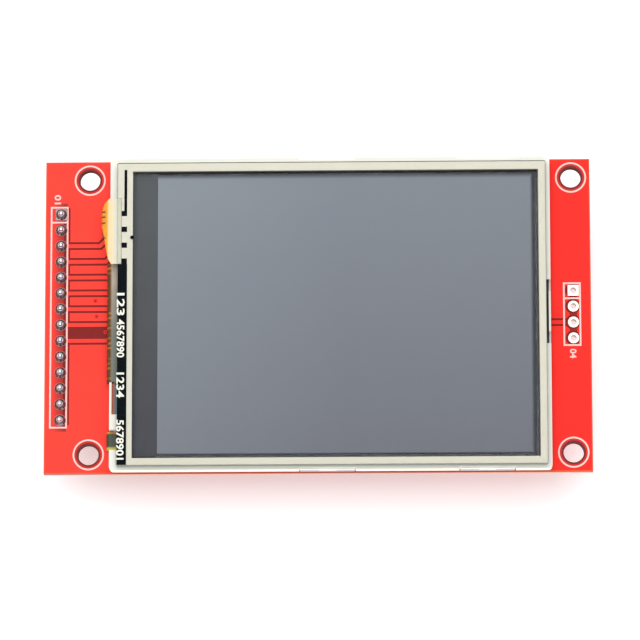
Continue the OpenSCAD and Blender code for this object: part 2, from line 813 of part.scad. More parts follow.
// Room round the flex bond and the black print
bond_gap = 0.05;
mark_x0 = bond_x1 - mark_w;
strip_y1 = touch_tail[0] - bond_gap;
strip_step = 0.9;
mark_gap = 1.7;
slit_y1 = touch[3] - margin_top + 0.25;
// Lower end of black mark i above the step
function mark_y(i) = strip_y1 + strip_step + mark_gap + i * (mark_w + mark_gap);

// Black print of the margin: the strip below the flex bond with a step at its top right,
// two marks above it, and a slit that widens at its lower end
module black_print() {
    strip = [touch[0] + spacer_edge, touch[1] + spacer_edge];
    polygon([strip, [bond_x1, strip[1]], [bond_x1, strip_y1 + strip_step], [mark_x0, strip_y1 + strip_step],
        [mark_x0, strip_y1], [strip[0], strip_y1]]);
    for (i = [0, 1]) translate([mark_x0, mark_y(i)]) square(mark_w);
    polygon([[mark_x0, mark_y(2)], [bond_x1, mark_y(2)], [bond_x1, slit_y1], [bond_x1 - slit_w, slit_y1],
        [bond_x1 - slit_w, mark_y(2) + mark_w], [mark_x0, mark_y(2) + mark_w]]);
}

module touch_spacer() {
    color([0.88, 0.86, 0.79]) difference() {
        ring(inset(touch, spacer_edge), window, z_spacer, flex_t, touch_r / 2);
        translate([touch[0] - 1, strip_y1 - eps, z_spacer - eps])
            cube([mark_x0 - touch[0] + 1, touch_tail_w + 2 * bond_gap + eps, 1]);
        // The strip lies between the spacer's edge and the window's print
        translate([touch[0] - 1, touch[1] - 1, z_spacer - eps])
            cube([bond_x1 + bond_gap - touch[0] + 1, strip_y1 - touch[1] + 1, 1]);
        translate([0, 0, z_spacer - eps]) linear_extrude(1) black_print();
    }
}

module touch_margin_strip() {
    color([0.08, 0.11, 0.13]) translate([0, 0, z_spacer]) linear_extrude(flex_t) black_print();
}

module touch_film() {
    color([0.85, 0.85, 0.82, 0.4]) plate(inset(touch, 0.05), z_film, film_t, touch_r);
}

// Right end of the touch flex, in its bond
tail_x1 = mark_x0 - bond_gap;

// Plan outline of the bulging part of the touch flex
module touch_tail_plan() {
    x0 = lcd_x0 - touch_bulge - eps;
    y0 = touch_tail[0];
    y1 = touch_tail[1];
    polygon([[x0, y1 - 3.1], [x0 + 0.15, y1 - 1.75], [x0 + 0.55, y1 - 0.7], [x0 + 1.35, y1], [tail_x1, y1],
        [tail_x1, y0], [x0 + 1.6, y0], [x0 + 1.1, y0 + 0.9], [x0 + 0.65, y0 + 3.1], [x0 + 0.4, y0 + 4.7],
        [x0, y0 + 6.6]]);
}

module touch_flex() {
    z_mid = (z_film + z_flex) / 2;
    x0 = lcd_x0 - touch_bulge - 1;
    color([0.97, 0.75, 0.3]) {
        intersection() {
            flex_strip(touch_tail[0], touch_tail[1], z_film, touch_bulge, tail_x1, lcd_x0 + tail_run);
            translate([0, 0, z_mid]) linear_extrude(z_film) touch_tail_plan();
        }
        intersection() {
            flex_strip(touch_tail_low[0], touch_tail_low[1], z_film, touch_bulge, tail_x1, lcd_x0 + tail_run);
            translate([x0, touch_tail_low[0], 0]) cube([2 * tail_run, touch_tail_low[1] - touch_tail_low[0], z_mid]);
        }
    }
}

// ---- SD card socket ----

peg_play = 0.05;
peg_l = 1.2;
peg_x = sd_body_w / 2 - peg_d / 2 - 0.2;
peg_shift = 5;

// Places of the locating pegs on the board
module at_pegs() {
    for (side = [-1, 1]) translate([sd_x + side * peg_x, sd_y - side * peg_shift]) children();
}

module at_contacts() {
    for (i = [0:contact_count - 1]) translate([row_y(i, contact_count, contact_pitch), 0, 0]) children();
}

// Cross-section of the body with chamfered top corners, under the shell's bends
module sd_body_section() {
    w = sd_body_w / 2;
    c = shell_t;
    polygon([[-w, 0], [w, 0], [w, sd_inner_h - c], [w - c, sd_inner_h], [-w + c, sd_inner_h], [-w, sd_inner_h - c]]);
}

module sd_body() {
    y0 = -sd_l / 2;
    mouth = 0.6;
    key = 1.5;
    color([0.09, 0.09, 0.1]) on_back(sd_x, sd_y, 180) {
        difference() {
            translate([0, y0, 0]) rotate([90, 0, 180])
                linear_extrude(sd_l - mouth) sd_body_section();
            // Channel for the card, with a corner left for the card's cut corner
            translate([0, 0, sd_floor]) linear_extrude(sd_h) polygon([[-channel_w / 2, y0 + sd_block],
                [channel_w / 2 - key, y0 + sd_block], [channel_w / 2, y0 + sd_block + key],
                [channel_w / 2, sd_l], [-channel_w / 2, sd_l]]);
            at_contacts() {
                // Slot through the block, and the window that the contact bends into
                translate([-contact_slot / 2, y0 - eps, sd_floor])
                    cube([contact_slot, sd_block + 2 * eps, contact_t + card_play]);
                translate([-contact_slot / 2, y0 + sd_block, -eps])
                    cube([contact_slot, contact_reach + 0.6, sd_floor + 2 * eps]);
            }
        }
        for (side = [-1, 1]) translate([side * peg_x, side * peg_shift, -peg_l - pad_t])
            cylinder(d = peg_d, h = peg_l + pad_t + eps);
    }
}

// Length of a contact in front of the block
contact_reach = 6.5;
contact_rise = 0.9;

module sd_contacts() {
    y0 = -sd_l / 2;
    t = contact_t / 2;
    color([0.85, 0.7, 0.35]) on_back(sd_x, sd_y, 180) at_contacts()
        rotate([90, 0, 90]) linear_extrude(contact_w, center = true)
            band([[y0 - contact_t - foot_l, t], [y0 - contact_t, t], [y0 - contact_t, sd_floor + t],
                [y0 + sd_block, sd_floor + t], [y0 + sd_block + contact_reach - 1.2, sd_floor + contact_rise],
                [y0 + sd_block + contact_reach, sd_floor + contact_rise / 2]], -t, t);
}

// Section under a roof with rounded upper corners
module rounded_roof(w, h, r) {
    translate([-w / 2, 0]) square([w, h - r]);
    translate([-w / 2 + r, 0]) square([w - 2 * r, h]);
    for (side = [-1, 1]) translate([side * (w / 2 - r), h - r]) circle(r = r);
}

// Slot that frees a spring finger on three sides
module finger_slot(l, w, cut) {
    difference() {
        square([w + 2 * cut, l + cut], center = true);
        translate([0, cut / 2 + eps]) square([w, l + 2 * eps], center = true);
    }
}

// Solder tabs of the shell: how far they reach out, and how wide they are
sd_tab = [1.2, 2.4];

// Places of the four tabs, each at its root on a side wall and turned outwards
module at_sd_tabs() {
    for (sx = [0, 1], sy = [-1, 1]) mirror([sx, 0, 0])
        translate([sd_w / 2, sy * (sd_l / 2 - 3.5) - sd_tab[1] / 2, 0]) children();
}

module sd_shell() {
    l = sd_l - 0.4;
    scoop_r = 11;
    scoop_depth = 3.5;
    color([0.78, 0.79, 0.8]) on_back(sd_x, sd_y, 180) {
        difference() {
            translate([0, sd_l / 2, 0]) rotate([90, 0, 0]) linear_extrude(l) difference() {
                rounded_roof(sd_w, sd_h, 2 * shell_t);
                translate([0, -eps]) rounded_roof(sd_body_w, sd_inner_h + eps, shell_t);
            }
            translate([0, sd_l / 2 + scoop_r - scoop_depth, sd_floor]) cylinder(r = scoop_r, h = sd_h);
            translate([0, 0, sd_inner_h - eps]) linear_extrude(1) for (side = [-1, 1])
                translate([side * sd_w / 4, 2]) finger_slot(8, 2.2, 0.6);
            // Catches for the body, cut in both side walls
            for (y = [-sd_l / 3, 0, sd_l / 3]) translate([-sd_w, y - 1, sd_inner_h / 3]) cube([2 * sd_w, 2, 0.8]);
        }
        at_sd_tabs() translate([-shell_t, 0, 0]) cube([sd_tab[0] + shell_t, sd_tab[1], shell_t]);
    }
}

// ---- Small parts on the back ----

controller_at = [board_x0 + 19, 6];
regulator_at = [board_x0 + 12, -board_w / 2 + 7.5];
transistor_at = [board_x0 + 10, board_w / 2 - 11];
footprint_at = [sd_x - 26, -board_w / 2 + 12];
footprint_l = 6;
footprint_pitch = 1.27;
resistors_at = concat([for (p = [[25, -1.5], [25, -4], [21, -9], [17, -9], [10.5, -9], [10.5, -11]])
    [board_x0 + p[0], p[1]]], [for (y = [-7:-2:-13]) [board_x1 - 5.8, y]]);
capacitors_at = concat([for (p = [[25, 2], [19, 14]]) [board_x0 + p[0], p[1]]],
    [for (y = [9.5, 6]) [board_x0 + 17, y - board_w / 2]], [[sd_x - 18, -6], [sd_x - 14.5, -14]]);
// Leads: count on each side, pitch, width
controller_leads = [8, 8, 0.65, 0.25];
small_leads = [2, 1, 1.9, 0.4];
lead_out = 1;
stand_off = 0.1;

// Moulded chip body with tapered sides and a dimple by the first lead
module chip_body(size) {
    w = size[1] / 2;
    h = size[2];
    taper = h / 8;
    t = lead_t / 2;
    color([0.1, 0.1, 0.11]) translate([0, 0, stand_off]) difference() {
        rotate([90, 0, 90]) linear_extrude(size[0], center = true)
            polygon([[-w + taper, 0], [w - taper, 0], [w, h / 2 - t], [w, h / 2 + t],
                [w - taper, h], [-w + taper, h], [-w, h / 2 + t], [-w, h / 2 - t]]);
        translate([-size[0] / 2 + 0.6, -w + 0.6, h - 0.08]) cylinder(d = 0.5, h = 1);
    }
}

// Rows of bent leads on both sides of a chip: spec is [count, count opposite, pitch, width]
module chip_lead_rows(size, spec) {
    w = size[1] / 2;
    z = stand_off + size[2] / 2;
    for (side = [0, 1]) rotate(180 * side) for (i = [0:spec[side] - 1])
        translate([row_y(i, spec[side], spec[2]), 0, 0]) rotate([90, 0, 90])
            linear_extrude(spec[3], center = true)
                band([[w, z], [w + lead_out * 0.3, z], [w + lead_out * 0.45, lead_t / 2],
                    [w + lead_out, lead_t / 2]], -lead_t / 2, lead_t / 2);
}

// Solder pads under those rows
module chip_lead_pads(size, spec) {
    for (side = [0, 1]) rotate(180 * side) for (i = [0:spec[side] - 1])
        translate([row_y(i, spec[side], spec[2]) - spec[3] * 0.7, size[1] / 2 + lead_out * 0.4, -pad_t])
            cube([spec[3] * 1.4, lead_out, pad_t]);
}

module touch_controller() {
    on_back(controller_at[0], controller_at[1]) chip_body(controller);
}

module regulator() {
    on_back(regulator_at[0], regulator_at[1]) chip_body(small_chip);
}

module transistor() {
    on_back(transistor_at[0], transistor_at[1]) chip_body(small_chip);
}

module chip_leads() {
    color([0.8, 0.8, 0.8]) {
        on_back(controller_at[0], controller_at[1]) chip_lead_rows(controller, controller_leads);
        for (p = [regulator_at, transistor_at]) on_back(p[0], p[1]) chip_lead_rows(small_chip, small_leads);
    }
}

module chip_resistors() {
    color([0.12, 0.12, 0.13]) for (p = resistors_at) on_back(p[0], p[1])
        translate([0, 0, resistor[2] / 2])
            cube([resistor[0] - 2 * terminal_l, resistor[1], resistor[2]], center = true);
}

module chip_capacitors() {
    color([0.62, 0.5, 0.36]) for (p = capacitors_at) on_back(p[0], p[1])
        translate([0, 0, capacitor[2] / 2])
            cube([capacitor[0] - 2 * terminal_l, capacitor[1], capacitor[2]], center = true);
}

// Metal ends of one chip part
module terminals(size) {
    for (side = [-1, 1]) translate([side * (size[0] - terminal_l) / 2, 0, size[2] / 2])
        cube([terminal_l, size[1], size[2]], center = true);
}

module chip_terminals() {
    color([0.82, 0.82, 0.82]) {
        for (p = resistors_at) on_back(p[0], p[1]) terminals(resistor);
        for (p = capacitors_at) on_back(p[0], p[1]) terminals(capacitor);
    }
}

// Pads under the two ends of a chip part
module terminal_pads(size) {
    l = terminal_l + 0.4;
    for (side = [-1, 1]) translate([side * (size[0] - terminal_l + 0.3) / 2, 0, -pad_t / 2])
        cube([l, size[1], pad_t], center = true);
}

module back_pads() {
    color([0.85, 0.85, 0.83]) {
        on_back(controller_at[0], controller_at[1]) chip_lead_pads(controller, controller_leads);
        for (p = [regulator_at, transistor_at]) on_back(p[0], p[1]) chip_lead_pads(small_chip, small_leads);
        for (p = resistors_at) on_back(p[0], p[1]) terminal_pads(resistor);
        for (p = capacitors_at) on_back(p[0], p[1]) terminal_pads(capacitor);
        // Empty places of an eight-lead memory chip
        on_back(footprint_at[0], footprint_at[1]) for (side = [-1, 1], i = [0:3])
            translate([side * (footprint_l - 1.5) / 2, row_y(i, 4, footprint_pitch), -pad_t / 2])
                cube([1.5, 0.6, pad_t], center = true);
        on_back(sd_x, sd_y, 180) {
            at_contacts() translate([-contact_w / 2, -sd_l / 2 - contact_t - foot_l - 0.3, -pad_t])
                cube([contact_w, foot_l + 0.3, pad_t]);
            at_sd_tabs() translate([0, 0, -pad_t]) cube([sd_tab[0] + 0.4, sd_tab[1], pad_t]);
        }
    }
}

pcb();
header_pads();
open_pads();
back_pads();
flex_pads();
front_silkscreen();
back_silkscreen();
header_body();
header_pins();
solder_joints();
foam_tape();
steel_tray();
lcd_frame();
reflector_sheet();
light_guide();
backlight_leds();
backlight_flex();
diffuser_sheet();
prism_sheet_lower();
prism_sheet_upper();
rim_tape();
rear_polarizer();
rear_glass();
front_glass();
front_polarizer();
driver_chip();
ledge_tape();
main_flex();
touch_adhesive();
touch_glass();
touch_spacer();
touch_margin_strip();
touch_film();
touch_flex();
sd_body();
sd_shell();
sd_contacts();
touch_controller();
regulator();
transistor();
chip_leads();
chip_resistors();
chip_capacitors();
chip_terminals();
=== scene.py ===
"""Looks of a TFT display module: materials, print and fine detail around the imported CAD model."""

import functools
import json
import math

import bmesh
import bpy
from mathutils import Matrix, Vector


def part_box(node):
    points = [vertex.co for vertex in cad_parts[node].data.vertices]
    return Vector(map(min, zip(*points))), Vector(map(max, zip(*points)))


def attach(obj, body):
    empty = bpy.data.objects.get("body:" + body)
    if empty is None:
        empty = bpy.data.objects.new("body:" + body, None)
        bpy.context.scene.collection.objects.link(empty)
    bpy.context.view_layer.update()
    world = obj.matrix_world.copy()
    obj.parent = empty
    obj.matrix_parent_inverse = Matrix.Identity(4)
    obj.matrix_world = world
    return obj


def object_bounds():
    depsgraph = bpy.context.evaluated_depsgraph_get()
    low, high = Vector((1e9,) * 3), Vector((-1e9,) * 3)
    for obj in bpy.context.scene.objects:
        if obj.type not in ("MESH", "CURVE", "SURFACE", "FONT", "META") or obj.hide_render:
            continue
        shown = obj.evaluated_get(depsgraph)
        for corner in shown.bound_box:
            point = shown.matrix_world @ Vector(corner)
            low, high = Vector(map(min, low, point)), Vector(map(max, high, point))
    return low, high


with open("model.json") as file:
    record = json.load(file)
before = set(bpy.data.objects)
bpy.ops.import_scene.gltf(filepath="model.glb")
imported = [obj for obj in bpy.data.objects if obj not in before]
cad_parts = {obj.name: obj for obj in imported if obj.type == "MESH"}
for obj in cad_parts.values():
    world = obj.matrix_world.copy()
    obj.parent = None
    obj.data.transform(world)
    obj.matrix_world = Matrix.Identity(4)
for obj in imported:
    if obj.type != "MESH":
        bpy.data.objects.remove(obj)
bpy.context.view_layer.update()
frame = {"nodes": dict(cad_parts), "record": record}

MM = 0.001
WHITE = (1.0, 1.0, 1.0, 1.0)

# Strength of the studio where it isn't seen, and how much the floor glows where it is
AMBIENT = 0.42
FLOOR_LIFT = 0.33

# Pins of the header and pads of the open row, each in one row along y
PIN_COUNT = 14
PAD_COUNT = 4

# Turn of a number that reads down, towards -y
DOWNWARD = -math.pi / 2

# Thickness of printed numbers and marks, and how much bolder than their font the numbers are
PRINT_DEPTH = 0.006 * MM
BOLDNESS = 0.022


def box_mm(node):
    """Lowest and highest corner of a CAD node, in millimetres."""
    low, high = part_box(node)
    return low / MM, high / MM


def hole_places():
    """How far the mounting holes' middles are from the origin along x and y, in millimetres."""
    holes = next(mount for mount in frame["record"]["mounts"] if mount["name"] == "corner_holes")
    return holes["dims"]["spacing_x_mm"] / 2, holes["dims"]["spacing_y_mm"] / 2


HOLE_X, HOLE_Y = hole_places()


# ---------------------------------------------------------------- colours and node trees

def linear(r, g, b):
    """Linear colour of an sRGB colour given in 0 to 255."""
    def channel(c):
        c /= 255
        return c / 12.92 if c <= 0.04045 else ((c + 0.055) / 1.055) ** 2.4
    return (channel(r), channel(g), channel(b), 1.0)


def dimmed(colour, factor):
    """A linear colour times a factor."""
    return tuple(c * factor for c in colour[:3]) + (1.0,)


class Nodes:
    """A node tree that is built up call by call."""

    def __init__(self, tree):
        self.tree = tree

    def feed(self, socket, value):
        """Links another node's output to a socket, or sets the socket to a plain value."""
        if isinstance(value, bpy.types.NodeSocket):
            self.tree.links.new(value, socket)
        else:
            socket.default_value = value

    def node(self, kind, inputs=None, **settings):
        """Adds a node; inputs maps a socket to a value or to another node's output."""
        made = self.tree.nodes.new("ShaderNode" + kind)
        for key, value in settings.items():
            setattr(made, key, value)
        for key, value in (inputs or {}).items():
            self.feed(made.inputs[key], value)
        return made

    def math(self, operation, a, b=0.0, clamp=False):
        """Result of one calculation."""
        return self.node("Math", {0: a, 1: b}, operation=operation, use_clamp=clamp).outputs[0]

    def product(self, *values):
        """Product of several values."""
        return functools.reduce(lambda a, b: self.math("MULTIPLY", a, b), values)

    def highest(self, *values):
        """The highest of several values."""
        return functools.reduce(lambda a, b: self.math("MAXIMUM", a, b), values)

    def mix(self, factor, a, b):
        """Colour a at factor 0, b at 1."""
        return self.node("Mix", {0: factor, 6: a, 7: b}, data_type="RGBA").outputs[2]

    def choose(self, factor, a, b):
        """Value a at factor 0, b at 1."""
        return self.node("Mix", {0: factor, 2: a, 3: b}).outputs[0]

    def ramp(self, value, low, high):
        """0 at low and beyond it, 1 at high and beyond it."""
        return self.node("MapRange", {0: value, 1: low, 2: high}).outputs[0]

    def spread(self, value, low, high):
        """Takes 0 to 1 to low to high."""
        return self.node("MapRange", {0: value, 3: low, 4: high}).outputs[0]

    def above(self, value, limit):
        """1 where the value is over the limit, else 0."""
        return self.math("GREATER_THAN", value, limit)

    def below(self, value, limit):
        """1 where the value is under the limit, else 0."""
        return self.math("LESS_THAN", value, limit)

    def within(self, value, low, high):
        """1 where the value lies between low and high, else 0."""
        inputs = {0: value, 1: (low + high) / 2, 2: (high - low) / 2}
        return self.node("Math", inputs, operation="COMPARE").outputs[0]


class Finish(Nodes):
    """A material on the standard surface shader. Sizes and places in it are in millimetres."""

    def __init__(self, name, **sockets):
        self.name = name
        self.material = bpy.data.materials.new(name)
        self.material.use_nodes = True
        super().__init__(self.material.node_tree)
        self.shader = self.tree.nodes["Principled BSDF"]
        for key, value in sockets.items():
            self.set(key.replace("_", " "), value)

    def set(self, socket, value):
        """Feeds a socket of the surface shader."""
        self.feed(self.shader.inputs[socket], value)

    def place(self):
        """Place on the object in the row's frame, in metres."""
        return self.node("TexCoord").outputs["Object"]

    def axes(self):
        """x, y and z of the place on the object."""
        scaled = self.node("VectorMath", {0: self.place(), "Scale": 1 / MM}, operation="SCALE").outputs[0]
        return self.node("SeparateXYZ", {0: scaled}).outputs

    def normal_z(self):
        """How far the face looks up: 1 up, 0 sideways, -1 down."""
        normal = self.node("NewGeometry").outputs["True Normal"]
        return self.node("SeparateXYZ", {0: normal}).outputs[2]

    def noise(self, size, detail=3.0, stretch=(1, 1, 1)):
        """Noise with features of about that size, 0 to 1."""
        scaled = self.node("Mapping", {0: self.place(), 3: stretch}).outputs[0]
        inputs = {"Vector": scaled, "Scale": 1 / (size * MM), "Detail": detail}
        return self.node("TexNoise", inputs).outputs[0]

    def wave(self, direction, scale, distortion, detail=2.0, detail_scale=1.0):
        """Wavy bands that follow each other along a direction, 0 to 1. The scale is per metre."""
        inputs = {"Vector": self.place(), "Scale": scale, "Distortion": distortion,
            "Detail": detail, "Detail Scale": detail_scale}
        return self.node("TexWave", inputs, bands_direction=direction).outputs[1]

    def mottle(self, size, a, b):
        """Two colours, given in 0 to 255, mixed by noise."""
        return self.mix(self.noise(size), linear(*a), linear(*b))

    def roughness(self, size, low, high):
        """Roughness that noise varies from low to high."""
        self.set("Roughness", self.spread(self.noise(size), low, high))

    def bump(self, height, depth, strength=1.0):
        """Relief of the surface, from a height of 0 to 1."""
        inputs = {"Height": height, "Distance": depth * MM, "Strength": strength}
        self.set("Normal", self.node("Bump", inputs).outputs[0])


# ---------------------------------------------------------------- finish of the circuit board

def mask_colour(g, x, y):
    """Red mask, darker beside the pins with painted shade that deepens towards the joints, and darker
    between the open pads, where no copper lies below it.
    """
    mask = g.mix(g.ramp(x, -HOLE_X, HOLE_X), linear(253, 64, 50), linear(251, 40, 29))
    mask = g.mix(g.math("MULTIPLY", g.noise(6.0), 0.3), mask, linear(238, 30, 26))
    # Painted shade beside the header pins, deepening from the box's left line towards the joints.
    painted_shade_beside_pins = g.product(g.within(y, -18.3, 18.3), g.within(x, -44.2, -41.5), g.ramp(x, -44.1, -42.0))
    mask = g.mix(g.math("MULTIPLY", painted_shade_beside_pins, 0.9), mask, linear(146, 42, 36))
    between_pads = g.product(g.within(y, -4.5, 4.5), g.within(x, 37.6, 38.8))
    return g.mix(between_pads, mask, linear(142, 30, 22))


def laminate_colour(g, z):
    """Cut layers of the laminate, with painted shade that makes the upper part darker and redder."""
    layers = g.wave("Z", 900.0, 6.0, 3.0, 60.0)
    lower = g.mix(layers, linear(206, 150, 128), linear(226, 176, 152))
    # Painted shade: the upper band of the cut edge is drawn darker.
    upper = g.mix(layers, linear(150, 70, 66), linear(168, 84, 76))
    return g.mix(g.ramp(z, 0.7, 1.0), lower, upper)


def hole_distance(g, x, y):
    """Distance from the middle of the nearest mounting hole."""
    off_x = g.math("SUBTRACT", g.math("ABSOLUTE", x), HOLE_X)
    off_y = g.math("SUBTRACT", g.math("ABSOLUTE", y), HOLE_Y)
    squares = g.math("ADD", g.math("MULTIPLY", off_x, off_x), g.math("MULTIPLY", off_y, off_y))
    return g.math("SQRT", squares)


def routed_edge(g, x, y, low, high, width):
    """1 on a narrow band along the board's outline, where the router took the mask off."""
    middle = (low + high) / 2
    reach = (high - low) / 2
    bands = []
    for axis, centre, half in ((x, middle.x, reach.x), (y, middle.y, reach.y)):
        away = g.math("ABSOLUTE", g.math("SUBTRACT", axis, centre))
        bands.append(g.above(away, half - width))
    return g.highest(*bands)


def solder_mask():
    """The board: mask on both faces, bare gap lines sunk in it, collars round the holes with painted shade
    at their rims and on the hole walls, and cut edges.
    """
    g = Finish("solder_mask", Specular_IOR_Level=0.12)
    x, y, z = g.axes()
    normal_z = g.normal_z()
    low, high = box_mm("pcb")
    from_hole = hole_distance(g, x, y)
    near_hole = g.below(from_hole, 3.0)

    gap = g.mottle(2.0, (140, 22, 20), (112, 14, 14))
    collar = g.mottle(1.5, (214, 48, 38), (200, 40, 32))
    # Painted shade: a dark rim at the edge of each mounting hole.
    collar = g.mix(g.ramp(from_hole, 1.85, 1.95), linear(112, 34, 28), collar)
    sunk_front = g.product(g.below(z, high.z - 0.02), g.above(normal_z, 0.5))
    sunk_back = g.product(g.above(z, low.z + 0.02), g.below(normal_z, -0.5))
    sunk = g.highest(sunk_front, sunk_back)
    face = g.mix(sunk, mask_colour(g, x, y), g.mix(near_hole, gap, collar))
    routed = routed_edge(g, x, y, low, high, 0.15)
    face = g.mix(g.math("MULTIPLY", routed, 0.7), face, linear(206, 104, 66))

    # Painted shade: the walls of the mounting holes are dark.
    laminate = g.mix(near_hole, laminate_colour(g, z), linear(104, 44, 38))
    cut = g.below(g.math("ABSOLUTE", normal_z), 0.5)
    g.set("Base Color", g.mix(cut, face, laminate))
    g.set("Roughness", g.choose(cut, g.spread(g.noise(1.2), 0.3, 0.38), 0.7))
    weave = g.math("ADD", g.wave("X", 420.0, 1.5), g.wave("Y", 420.0, 1.5))
    g.bump(weave, 0.003, 0.3)
    return g


# ---------------------------------------------------------------- finishes of the three flex tails

def touch_tail():
    """Amber film at the bend, with a painted highlight that makes it pale where the bend turns to face up,
    and cream where a cover layer lies over it.
    """
    g = Finish("touch_tail", Specular_IOR_Level=0.3)
    x, _, z = g.axes()
    amber = g.mottle(0.9, (240, 168, 50), (214, 136, 34))
    # Painted highlight: the pale colour at the top of the bend.
    painted_highlight = g.mottle(1.4, (248, 212, 164), (238, 204, 156))
    cover = g.mottle(2.0, (215, 213, 192), (207, 206, 184))
    upper_run = g.above(z, 3.6)
    colour = g.mix(g.product(upper_run, g.ramp(x, -35.1, -34.8)), amber, painted_highlight)
    colour = g.mix(g.product(upper_run, g.ramp(x, -34.3, -33.95)), colour, cover)
    g.set("Base Color", colour)
    g.roughness(1.0, 0.3, 0.42)
    return g


def main_tail():
    """Brown film with copper that shines through at the bend, and a painted reflection, grey-green below
    and beige above, on its flat top near the glass.
    """
    g = Finish("main_tail", Specular_IOR_Level=0.3)
    x, y, z = g.axes()
    pitch = 0.8
    stripes = g.math("SINE", g.math("MULTIPLY", y, 2 * math.pi / pitch))
    copper = g.product(g.ramp(stripes, -0.2, 0.6), g.ramp(g.noise(1.6), 0.42, 0.6))
    bend = g.mix(copper, linear(88, 54, 20), linear(186, 116, 34))
    # Painted reflection on the flat top of the flex, grey-green lower down and beige higher up.
    cover = g.mix(g.ramp(y, -3, 5), linear(112, 117, 106), linear(182, 168, 150))
    cover = g.mix(g.math("MULTIPLY", g.noise(1.2), 0.4), cover, linear(96, 92, 74))
    painted_reflection_zone = g.product(g.above(z, 3.0), g.ramp(x, -34.6, -34.25))
    g.set("Base Color", g.mix(painted_reflection_zone, bend, cover))
    g.roughness(1.0, 0.3, 0.45)
    g.bump(g.ramp(stripes, -0.1, 0.25), 0.008, 0.4)
    return g


def backlight_tail():
    """Amber film around a wide dark conductor, yellow along one side."""
    g = Finish("backlight_tail", Specular_IOR_Level=0.3)
    y = g.axes()[1]
    amber = g.mottle(0.8, (206, 150, 60), (184, 128, 46))
    conductor = g.mottle(0.7, (66, 74, 54), (50, 58, 44))
    yellow = g.mottle(0.8, (196, 190, 70), (178, 170, 60))
    colour = g.mix(g.ramp(y, -19.0, -18.8), conductor, amber)
    g.set("Base Color", g.mix(g.ramp(y, -20.9, -21.2), colour, yellow))
    g.roughness(1.0, 0.3, 0.45)
    return g


# ---------------------------------------------------------------- finishes of the display

def clear_sheet(name, colour, edge_colour, alpha, edge_alpha, rough):
    """A thin clear plate: faint on its faces apart from its reflection, solid at its cut edges."""
    g = Finish(name, Specular_IOR_Level=0.5)
    colour, edge_colour = linear(*colour), linear(*edge_colour)
    edge = g.below(g.math("ABSOLUTE", g.normal_z()), 0.5)
    face_tint = g.mix(g.noise(12.0), colour, dimmed(colour, 0.94))
    edge_tint = g.mix(g.noise(5.0), edge_colour, dimmed(edge_colour, 0.86))
    g.set("Base Color", g.mix(edge, face_tint, edge_tint))
    mirror = g.ramp(g.node("Fresnel", {"IOR": 1.45}).outputs[0], 0.05, 0.6)
    face_alpha = g.math("ADD", alpha, g.math("MULTIPLY", mirror, 0.5), clamp=True)
    g.set("Alpha", g.choose(edge, face_alpha, edge_alpha))
    g.roughness(8.0, rough, rough * 1.15)
    return g


def display_face():
    """Grey-blue polariser, with a painted reflection that makes it lighter towards the top left, and the
    dark border of the cell around it.
    """
    g = Finish("display_face", Specular_IOR_Level=0.3)
    x, y, _ = g.axes()
    # Painted reflection of the lamp: lighter towards the top and the left.
    painted_reflection_up = g.math("MULTIPLY", g.ramp(y, -20, 20), 0.62)
    painted_reflection_left = g.math("MULTIPLY", g.ramp(x, 2, -26), 0.38)
    face = g.mix(g.math("ADD", painted_reflection_up, painted_reflection_left), linear(129, 133, 145), linear(159, 168, 178))
    face = g.mix(g.math("MULTIPLY", g.noise(14.0), 0.12), face, linear(136, 141, 152))
    low, high = box_mm("front_polarizer")
    right = g.ramp(x, high.x - 0.75, high.x - 0.3)
    top = g.ramp(y, high.y - 0.7, high.y - 0.1)
    bottom = g.ramp(y, low.y + 0.3, low.y + 0.05)
    border = g.highest(right, g.math("MULTIPLY", top, 0.8), bottom)
    g.set("Base Color", g.mix(border, face, linear(46, 52, 62)))
    g.roughness(9.0, 0.34, 0.4)
    return g


def ledge_cover():
    """Dark tape over the glass ledge, a little lighter at the top."""
    g = Finish("ledge_cover", Specular_IOR_Level=0.2)
    lower = g.mottle(6.0, (86, 87, 94), (81, 82, 89))
    upper = g.mottle(6.0, (104, 108, 111), (98, 102, 106))
    g.set("Base Color", g.mix(g.ramp(g.axes()[1], -HOLE_Y, HOLE_Y), lower, upper))
    g.roughness(3.0, 0.5, 0.62)
    return g


def moulded_frame():
    """White moulding, with painted shade in the depth of its right slot and the tinted gap beside the
    glass.
    """
    g = Finish("moulded_frame", Specular_IOR_Level=0.35)
    x, y, z = g.axes()
    sunk = g.below(z, box_mm("lcd_frame")[1].z - 0.1)
    white = g.mottle(3.0, (236, 235, 225), (230, 228, 216))
    # Painted shade: the depth of the right slot is near black.
    slot = g.product(sunk, g.within(y, -5.2, 5.2), g.within(x, 33.88, 34.35))
    colour = g.mix(slot, white, g.mottle(1.0, (16, 36, 46), (26, 44, 54)))
    gap = g.product(sunk, g.within(y, -16.0, -10.8), g.within(x, -34.3, -33.3))
    tint = g.mix(g.ramp(x, -34.0, -33.75), linear(232, 116, 94), linear(96, 140, 140))
    g.set("Base Color", g.mix(gap, colour, tint))
    g.roughness(1.5, 0.42, 0.55)
    g.bump(g.noise(0.25, 2.0), 0.005)
    return g


# ---------------------------------------------------------------- metals and plain finishes

def brushed(name, colour, rough, stretch=(1, 12, 1)):
    """Sheet metal with a fine rolled grain."""
    g = Finish(name, Metallic=1.0)
    grain = g.noise(0.25, 4.0, stretch)
    g.set("Base Color", g.mix(grain, linear(*colour), dimmed(linear(*colour), 0.82)))
    g.set("Roughness", g.spread(grain, rough, rough + 0.14))
    g.bump(grain, 0.003, 0.3)
    return g


